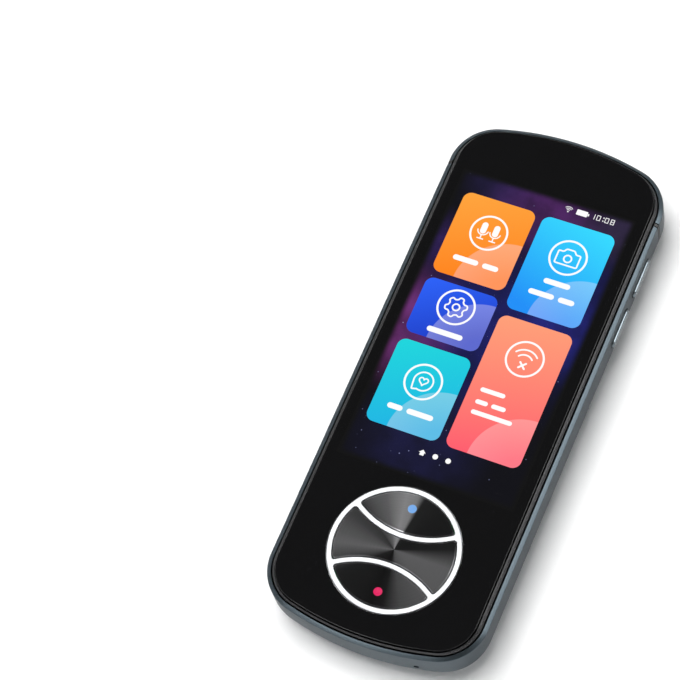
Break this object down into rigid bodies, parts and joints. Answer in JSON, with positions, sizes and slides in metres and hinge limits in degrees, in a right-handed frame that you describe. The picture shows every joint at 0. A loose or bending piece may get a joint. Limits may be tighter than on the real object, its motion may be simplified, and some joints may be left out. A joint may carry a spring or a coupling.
{
  "type": "handheld translator",
  "caption": "Bar-shaped handheld translator with a lit glass front, talk keys in a white ring, side keys and a metal shell with a camera block on its back.",
  "frame": {"origin": "under the middle of the device as it lies on its back, at the lowest point of the camera ring", "axes": "+X to the device's right side seen from the front, +Y to its top end, +Z out of the screen"},
  "size_m": [0.0466, 0.1148, 0.0131],
  "materials": {
    "shell_paint": "dark grey metallic coat with a fine grain",
    "strip_black": "satin black",
    "bezel_chrome": "polished",
    "window_glass": "black-backed gloss",
    "frame_grey": "satin dark grey",
    "front_glass": "black-printed gloss over a lit screen",
    "ring_white": "satin white",
    "key_metal": "turned in circles, dark",
    "side_key_metal": "satin dark grey",
    "panel_dark": "screen module",
    "silicone_grey": "matte",
    "spring_steel": "bright",
    "board_green": "solder mask on glass fibre",
    "shield_tin": "tinned",
    "battery_wrap": "foil pouch in a dark wrap",
    "speaker_black": "fine grain",
    "foam_black": "foam",
    "mic_metal": "pale gold can",
    "module_black": "matte",
    "lens_coating": "violet coating",
    "flash_cream": "cream",
    "socket_steel": "drawn",
    "screw_steel": "blackened"
  },
  "bodies": {
    "device": {"rear_cover": "shell_paint", "antenna_cap": "shell_paint", "antenna_strip": "strip_black", "camera_bezel": "bezel_chrome", "camera_window": "window_glass", "front_frame": "frame_grey", "cover_glass": "front_glass", "key_ring": "ring_white", "display_panel": "panel_dark", "keypad_mat": "silicone_grey", "dome_upper": "spring_steel", "dome_middle": "spring_steel", "dome_lower": "spring_steel", "key_board": "board_green", "main_board": "board_green", "main_shield": "shield_tin", "memory_shield": "shield_tin", "battery": "battery_wrap", "speaker": "speaker_black", "speaker_gasket": "foam_black", "microphone": "mic_metal", "noise_microphone": "mic_metal", "camera_module": "module_black", "camera_lens": "lens_coating", "flash_led": "flash_cream", "usb_socket": "socket_steel", "vibration_motor": "shield_tin", "switch_left": "shield_tin", "switch_right_upper": "shield_tin", "switch_right_lower": "shield_tin", "board_screw_1": "screw_steel", "board_screw_2": "screw_steel", "board_screw_3": "screw_steel", "board_screw_4": "screw_steel"},
    "key_upper": {"key_upper": "key_metal"},
    "key_middle": {"key_middle": "key_metal"},
    "key_lower": {"key_lower": "key_metal"},
    "key_left": {"key_left": "side_key_metal"},
    "key_right_upper": {"key_right_upper": "side_key_metal"},
    "key_right_lower": {"key_right_lower": "side_key_metal"}
  },
  "joints": [
    {"name": "key_upper_press", "type": "slide", "parent": "device", "child": "key_upper", "axis": [0, 0, -1], "range_m": [0, 0.00035], "stiffness_N_per_m": 400},
    {"name": "key_middle_press", "type": "slide", "parent": "device", "child": "key_middle", "axis": [0, 0, -1], "range_m": [0, 0.00035], "stiffness_N_per_m": 400},
    {"name": "key_lower_press", "type": "slide", "parent": "device", "child": "key_lower", "axis": [0, 0, -1], "range_m": [0, 0.00035], "stiffness_N_per_m": 400},
    {"name": "key_left_press", "type": "slide", "parent": "device", "child": "key_left", "axis": [1, 0, 0], "range_m": [0, 0.0003], "stiffness_N_per_m": 400},
    {"name": "key_right_upper_press", "type": "slide", "parent": "device", "child": "key_right_upper", "axis": [-1, 0, 0], "range_m": [0, 0.0003], "stiffness_N_per_m": 400},
    {"name": "key_right_lower_press", "type": "slide", "parent": "device", "child": "key_right_lower", "axis": [-1, 0, 0], "range_m": [0, 0.0003], "stiffness_N_per_m": 400}
  ]
}
